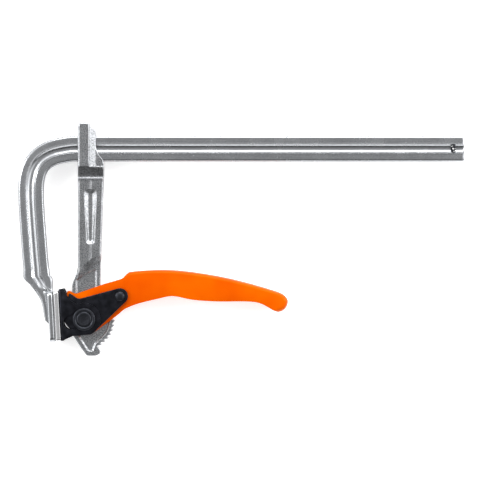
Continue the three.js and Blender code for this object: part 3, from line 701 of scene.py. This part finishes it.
def build_sliding_arm():
    web_outline = [
        (-5.5, 60), (-5.5, 45), (-6.4, 40), (-8, 36.4), (-9.6, 33), (-10.6, 29.5), (-10.6, 22), (-9, 17),
        (-8.6, -8), (-9.4, -14.2), (-2.8, -24.4), (1.4, -30.2), (2.6, -31), (9.6, -31), (12.6, -29.5),
        (13.7, -27.6), (12.9, -25.4), (10.6, -22.1), *tooth_outline(), (15.6, 19.4), (13.5, 24), (13.4, 30),
        (14.4, 60),
    ]
    web = prism("arm_web", web_outline, -WEB_HALF, WEB_HALF)
    hollow_outline = rounded(
        [(-6.9, 33), (-6.9, -11), (3.2, -26.9), (7.1, -26.9), (9.2, -20.9), *arc(0, 0, 21.4, -54, 44, 14),
         (10.1, 22), (10.1, 43), (1, 38.5)],
        [2, 1, 1.5, 1.5, 0] + [0] * 15 + [0, 2, 3])
    eye = turned("eye", [(0, -12), (10.6, -12), (11.4, 12), (0, 12)], 0, 0, 48)

    def shaft_ring(y, left, right, half):
        ring = rounded([(left, -half), (right, -half), (right, half), (left, half)], 1.9, 4)
        return [at(x, y, z) for x, z in ring]

    shaft = skin("arm_shaft", [
        shaft_ring(132, -5.5, 16.5, HEAD_HALF), shaft_ring(118.8, -5.5, 16.4, HEAD_HALF),
        shaft_ring(117.6, -5.5, 16.4, SHAFT_HALF),
        shaft_ring(57, -5.5, 14.4, SHAFT_HALF), shaft_ring(34, -5.5, 13.6, SHAFT_HALF)])
    foot = flowing([(-7.4, 31), (-2.5, 36.2), (3, 41.2), (8.5, 45.6), (15.2, 50)], 6)
    crown = arc(14.5, 35, 20.5, 180, 90, 24)
    below = [(60, -60), (-60, -60), (-60, 20)]
    for side in (1, -1):
        floor = [at(x, y, side * WEB_HALF) for x, y in [*foot, (60, 52.5), *below]]
        mouth = [at(x, y, side * 8.4) for x, y in [*crown, (60, 55.5), *below]]
        cut(shaft, skin("lever_clearance", [floor, mouth]))
        pocket_floor = rounded([(3.4, 106.5), (3.9, 66), (6.5, 66), (7.0, 106.5)], 1.2)
        pocket_mouth = rounded([(-1.5, 111), (1.2, 62.4), (9.2, 62.4), (11.6, 111)], [5.4, 3, 3, 5.4])
        low = [at(x, y, side * 5.5) for x, y in pocket_floor]
        high = [at(x, y, side * 7.8) for x, y in pocket_mouth]
        cut(shaft, skin("pocket", [low, high]))
        # a shallow draught line runs from the head through the pocket to the lever clearance
        valley = [at(x, 124, side * z) for x, z in ((3.2, 7.45), (5, 6.95), (6.8, 7.45))]
        cut(shaft, raised("draught_line", valley, Vector((0, -74 * MM, 0))))

    for side in (1, -1):
        for part in (web, shaft):
            floor_of_hollow = [at(x, y, side * 3.6) for x, y in inset(hollow_outline, 0.8)]
            mouth_of_hollow = [at(x, y, side * 4.65) for x, y in inset(hollow_outline, -0.45)]
            hollow = skin("web_hollow", [floor_of_hollow, mouth_of_hollow])
            boss = eye.copy()
            boss.data = eye.data.copy()
            bpy.context.collection.objects.link(boss)
            cut(hollow, boss)
            cut(part, hollow)
    bpy.data.objects.remove(eye, do_unlink=True)

    post_outline = rounded([(-5.5, 127.6), (5, 127.6), (5, 161), (4.4, 166.2), (-5.5, 166.2)], [0, 0, 0, 2.2, 2.6], 6)
    post = soften(prism("head_post", post_outline, -HEAD_HALF, HEAD_HALF), 2.2, 4, 60)
    flank_outline = [
        (3, 127.6), (16.5, 127.6), (16.5, 131.5), (15.7, 134.4), (13.2, 137.4), (11.3, 140.4), (10.1, 144), (9.7, 148),
        (9.7, 158.2), (9.2, 160), (8, 161), (3, 162.8),
    ]
    flank = soften(prism("head_flank", flank_outline, -8.9, 8.9), 1.3, 3, 50)
    # the flank falls away from the post on both sides
    for side in (1, -1):
        slope = [at(x, 128.6, side * z) for x, z in (
            (4.3, 9.1), (9.7, 6.95), (13.2, 6.5), (18, 6.2), (18, 12), (4.3, 12))]
        for part in (flank, shaft):
            cut(part, raised("flank_slope", slope, Vector((0, 41.4 * MM, 0))))
    for part in (post, flank, shaft):
        window = prism("rail_window", [(-30, 132.55), (30, 132.55), (30, 155.25), (-30, 155.25)], -5.6, 5.6)
        cut(part, window)
        for side in (1, -1):
            cove = [at(-12, y, side * z) for y, z in (
                (129.9, 10.4), (127, 9.1), (124, 8.1), (121, 7.2), (119.9, 6.9), (119.1, 7.5), (119, 14), (129.9, 14))]
            cut(part, raised("cove", cove, Vector((36 * MM, 0, 0))))
    arm = join(shaft, web, post, flank)
    arm.name = "forged_sliding_arm"
    modify(arm, "REMESH", mode="VOXEL", voxel_size=0.36 * MM)
    modify(arm, "SMOOTH", factor=0.5, iterations=4)
    modify(arm, "DECIMATE", ratio=0.4)
    # a crumb can stay beside the body: all that isn't joined to the top of the head goes
    top = max(vertex.co.y for vertex in arm.data.vertices)
    choose(arm, "FACE", lambda face: max(vertex.co.y for vertex in face.verts) > top - 0.1 * MM)
    bpy.ops.mesh.select_linked()
    bpy.ops.mesh.select_all(action="INVERT")
    bpy.ops.mesh.delete(type="FACE")
    done()
    drill(arm, MAIN_HOLE, 0, 0, 64)
    smooth(arm, 60)
    dress(arm, "arm", FORGED_FINISH, "forged_steel", "sliding_arm")


build_sliding_arm()

# ---------------------------------------------------------------- main pin, collars and rivet

main_pin = turned("main_pin_turned", [
    (0, -15), (5.4, -15), (6.1, -14.7), (6.5, -14.2), (6.5, 14.2), (6.1, 14.7), (5.4, 15), (4.6, 14.95),
    (4.1, 14.8), (0, 14.8)], 0, 0)
smooth(main_pin, 30)
dress(main_pin, "pin", PIN_FINISH, "pin_steel", "main_pin")

for side, node_name, name in ((1, "pin_collar_near", "pin_ring_near"), (-1, "pin_collar_far", "pin_ring_far")):
    collar = turned(name, [(r, side * z) for r, z in (
        (6.51, 13.0), (9.2, 13.0), (9.5, 13.3), (9.5, 14.3), (9.2, 14.85), (8.7, 15.1), (8.1, 15.2), (7.5, 15.1),
        (6.9, 14.8), (6.51, 14.4), (6.51, 13.0))], 0, 0)
    smooth(collar, 35)
    dress(collar, "pin", PIN_FINISH, "pin_steel", node_name)

rivet = turned("pawl_rivet", [
    (0, -11.5), (1.8, -11.45), (3.0, -11.2), (3.75, -10.8), (4.1, -10.35), (4.1, -10.2), (2.6, -10.19), (2.6, 10.19),
    (4.1, 10.2), (4.1, 10.35), (3.75, 10.8), (3.0, 11.2), (1.8, 11.45), (0, 11.5)], *PAWL_PIN, 56)
smooth(rivet, 40)
dress(rivet, "lever", RIVET_FINISH, "pin_steel", "pawl_pin")

# ---------------------------------------------------------------- lever


def lever_half_width(x):
    swell = smoothstep(x, 42, 98)
    tip = smoothstep(x, 158, 172)
    return CHEEK_OUTER + (GRIP_HALF_WIDTH - CHEEK_OUTER) * swell - 1.6 * tip


def build_lever():
    back = flowing([(37.4, 39.7), (42, 40.4), (52, 41.2), (67, 41.7), (82, 40.9), (102.5, 38.2), (123, 34.3),
                    (143, 29.2), (158, 24.8), (165.5, 22.2), (169.4, 19.6), (171.5, 16.4), (171.7, 13.8),
                    (170.4, 10.2), (167.4, 7.2), (163.6, 6.0)], 2)
    belly = flowing([(159, 7.6), (154, 10.6), (147.5, 13.6), (137, 15), (112, 15), (92, 16.3),
                     (78, 19.1), (71, 19.2), (62, 17.2), (46.8, 13.5), (36.7, 9.8), (31.6, 6.7), (26.5, 2.3),
                     (9.6, -10), (6.2, -12.1), (1, -12.8)], 4)
    hub = arc(0, 0, 10.4, 246, 180, 8)
    outline = [(-14.4, 23.3), (-13.2, 23.9), (-11.6, 23.3), (-8.3, 21.8), (-6.4, 21.6), (16.4, 29.6), (31, 33.9),
               (32.8, 35), (35.6, 38.2), *back, *belly, *hub, (-13.6, 8), (-15.2, 16)]
    lever = prism("pressed_lever", outline, -CHEEK_OUTER, CHEEK_OUTER)

    def open_side(face):
        """The sheet is open underneath and between the cheeks: only sides, back and tip stay"""
        middle = (face.calc_center_median() - PIN) / MM
        return abs(face.normal.z) < 0.7 and not (middle.x > 36.4 and (face.normal.y > 0.25 or middle.x > 163.4))

    def back_corner(edge):
        """Where a side meets the back, which the press rounds over"""
        return sorted(abs(face.normal.z) > 0.7 for face in edge.link_faces) == [False, True]

    choose(lever, "FACE", open_side)
    bpy.ops.mesh.delete(type="ONLY_FACE")
    done()
    choose(lever, "EDGE", back_corner)
    bpy.ops.mesh.bevel(offset=3.4 * MM, segments=7, affect="EDGES", clamp_overlap=False)
    done()
    # cross lines let the sides swell smoothly towards the grip
    only(lever)
    for x in (*range(40, 102, 4), *range(106, 156, 10), *range(157, 172, 2)):
        edit()
        bpy.ops.mesh.bisect(plane_co=at(x + 0.37, 0), plane_no=(1, 0, 0))
        done()
    for vertex in lever.data.vertices:
        local = (vertex.co - PIN) / MM
        vertex.co.z = PIN.z + local.z * lever_half_width(local.x) / CHEEK_OUTER * MM
    modify(lever, "SOLIDIFY", thickness=SHEET * MM, offset=-1, use_even_offset=True)
    drill(lever, MAIN_HOLE, 0, 0, 56)
    drill(lever, PAWL_HOLE, *PAWL_PIN, 40)
    soften(lever, 0.45, 3, 55)
    smooth(lever, 40)
    dress(lever, "lever", ORANGE_FINISH, "orange_paint", "lever_handle")


build_lever()


def cam_outline():
    """An involute front, so that each degree of lever moves the pad by the same amount"""
    front = []
    for i in range(25):
        direction = radians(144 + 4 * i)
        reach = 17.5 - CAM_RISE * (direction - pi - JAW_TILT)
        front.append((reach * cos(direction) + CAM_RISE * sin(direction),
                      reach * sin(direction) - CAM_RISE * cos(direction)))
    nose = [(-12.6, 21.9), (-11.4, 21.5), (-5.6, 17.7), (-3.6, 17.4)]
    return [*nose, *arc(*PAWL_PIN, 6.8, 105, -52, 20), (9.5, -9.8), (5.6, -11.6), (0, -11.6), (-4.4, -10),
            *reversed(front)]


for side, node_name, name in ((1, "cam_plate_near", "cam_near"), (-1, "cam_plate_far", "cam_far")):
    low, high = sorted(side * z for z in CAM_SIDE)
    cam = prism(name, cam_outline(), low, high)
    soften(cam, 0.5, 3, 50)
    drill(cam, MAIN_HOLE, 0, 0, 56)
    drill(cam, PAWL_HOLE, *PAWL_PIN, 40)
    smooth(cam, 40)
    dress(cam, "lever", BLACK_FINISH, "black_steel", node_name)

# ---------------------------------------------------------------- pressure pad


def build_yoke():
    web_depth = YOKE_WEB[0] + 1
    side_outline = [
        on_jaw(web_depth, YOKE_TOP), (-17.8, 25.9), (-16.9, 25.2), (-16.1, 23.6), (-14, 19.6), (-12.4, 17.4),
        (-10.6, 15.4), (-8.4, 13.8), (-6.6, 13.0), *arc(0, 0, 13.8, 112, -66, 36), (-9.2, -14),
        on_jaw(web_depth, JAW_BOTTOM + 0.3)]
    yoke = jaw_block("slotted_yoke", [(JAW_BOTTOM + 0.3, -12.7), (YOKE_TOP, -12.7), (YOKE_TOP, 12.7),
                                      (JAW_BOTTOM + 0.3, 12.7)], *YOKE_WEB)
    slot_end = on_jaw(11.5, -2)
    slot_outline = [*arc(0, 0, 6.9, -82, 93, 24), *arc(-4.4, -0.25, 6.9, 93, 115, 5),
                    *arc(*slot_end, 6, 115, 278, 24)]
    for side in (1, -1):
        low, high = sorted(side * z for z in YOKE_SIDE)
        cheek = prism("yoke_side", side_outline, low, high)
        cut(cheek, prism("slot", slot_outline, *sorted((side * 9, side * 20))))
        cut(yoke, cheek, operation="UNION")
    # the bends where the sheet turns from web to side
    bend = rounded([(-30, -12.7), (-30, 12.7), (YOKE_WEB[1], 12.7), (YOKE_WEB[1], -12.7)], [0, 0, 1.9, 1.9], 8)
    form = raised("bend_form", [at(*on_jaw(d, -40), z) for d, z in bend], at(*on_jaw(0, 50)) - at(*on_jaw(0, -40)))
    cut(yoke, form, operation="INTERSECT")
    drill_pad_rivets(yoke)
    soften(yoke, 0.55, 3, 50)
    smooth(yoke, 40)
    dress(yoke, "pad", BLACK_FINISH, "black_steel", "pad_yoke")


build_yoke()

plate_outline = rounded([(JAW_BOTTOM, -13.2), (JAW_TOP, -13.2), (JAW_TOP, 13.2), (JAW_BOTTOM, 13.2)], 2.4, 8)
pad_plate = jaw_block("pressure_plate", plate_outline, YOKE_WEB[1] + 0.3, PAD_FACE)
drill_pad_rivets(pad_plate)
soften(pad_plate, 1.4, 5, 50)
smooth(pad_plate, 40)
dress(pad_plate, "pad", BRIGHT_FINISH, "bright_steel", "pad_face_plate")

# ---------------------------------------------------------------- small pieces kept from the frame

for node_name, finish in (("pawl", FORGED_FINISH), ("pawl_spacer", WIRE_FINISH), ("pawl_spring", WIRE_FINISH),
                          ("pad_rivet_upper", BRIGHT_FINISH), ("pad_rivet_lower", BRIGHT_FINISH)):
    kept = frame["nodes"][node_name]
    for slot in kept.material_slots:
        slot.material = finish

# ---------------------------------------------------------------- floor, light and camera

low, high = (Vector(corner) for corner in cad_bounds)
start_piece()
bpy.ops.mesh.primitive_plane_add(size=24, location=(0, 0, low.z))
floor = bpy.context.object
floor.name = "floor"
bpy.ops.object.transform_apply(location=True, rotation=True, scale=True)
floor.data.materials.append(light_table("backlit_white_acrylic"))
# a low pale rim closes the view from the sides
choose(floor, "EDGE", lambda edge: True)
bpy.ops.mesh.extrude_edges_move(TRANSFORM_OT_translate={"value": (0, 0, 0.5)})
done()


def softbox(name, place, size, power):
    start_piece()
    bpy.ops.object.light_add(type="AREA", location=place)
    lamp = bpy.context.object
    lamp.name = name
    lamp.data.shape = "RECTANGLE"
    lamp.data.size, lamp.data.size_y = size
    lamp.data.energy = power
    lamp.rotation_euler = (Vector((0, 0, 0.02)) - Vector(place)).to_track_quat("-Z", "Y").to_euler()


softbox("softbox_back", (0.1, 1.1, 0.8), (1.2, 0.25), 12)
softbox("softbox_right", (1.1, 0.35, 0.7), (0.2, 0.8), 7)
softbox("softbox_left", (-1.0, 0.3, 0.7), (0.16, 0.7), 6)
softbox("softbox_front_low", (0.0, -1.2, 0.38), (2.0, 0.5), 7)

world = bpy.data.worlds.new("studio")
world.use_nodes = True
studio = world.node_tree
studio.nodes.clear()
# a light tent: grey straight overhead, bright all round, dim near the floor and on the near side
way = node(studio, "SeparateXYZ", {"Vector": node(studio, "TexCoord").outputs["Generated"]})
tent = node(studio, "ValToRGB", {"Fac": way.outputs["Z"]})
tent.color_ramp.elements[0].color = (0.03, 0.03, 0.03, 1)
tent.color_ramp.elements[1].color = (0.22, 0.22, 0.22, 1)
for height, light in ((0.1, 0.06), (0.28, 0.3), (0.42, 1.0), (0.82, 1.0), (0.91, 0.27)):
    tent.color_ramp.elements.new(height).color = (light, light, light, 1)
side = node(studio, "MapRange", {"Value": way.outputs["Y"], "From Min": -0.5, "From Max": -0.25,
                                 "To Min": 0.1, "To Max": 2.1})
sky = node(studio, "Background", {"Color": tent.outputs["Color"], "Strength": side.outputs["Result"]})
node(studio, "OutputWorld", {"Surface": sky.outputs["Background"]})
bpy.context.scene.world = world
bpy.context.scene.view_settings.view_transform = "Standard"

# a long lens from straight above; 405.6 mm fill the frame at the middle of the clamp's thickness
CAMERA_HEIGHT = 3.0
FRAME_WIDTH = 405.6 * MM
start_piece()
bpy.ops.object.camera_add(location=(PIN.x + 131.3 * MM, PIN.y + 66.8 * MM, PIN.z + CAMERA_HEIGHT))
camera = bpy.context.object
camera.name = "camera_above"
camera.rotation_euler = (0, 0, 0)
camera.data.sensor_width = 36
camera.data.lens = 36 * CAMERA_HEIGHT / FRAME_WIDTH
camera.data.clip_end = 60
bpy.context.scene.camera = camera
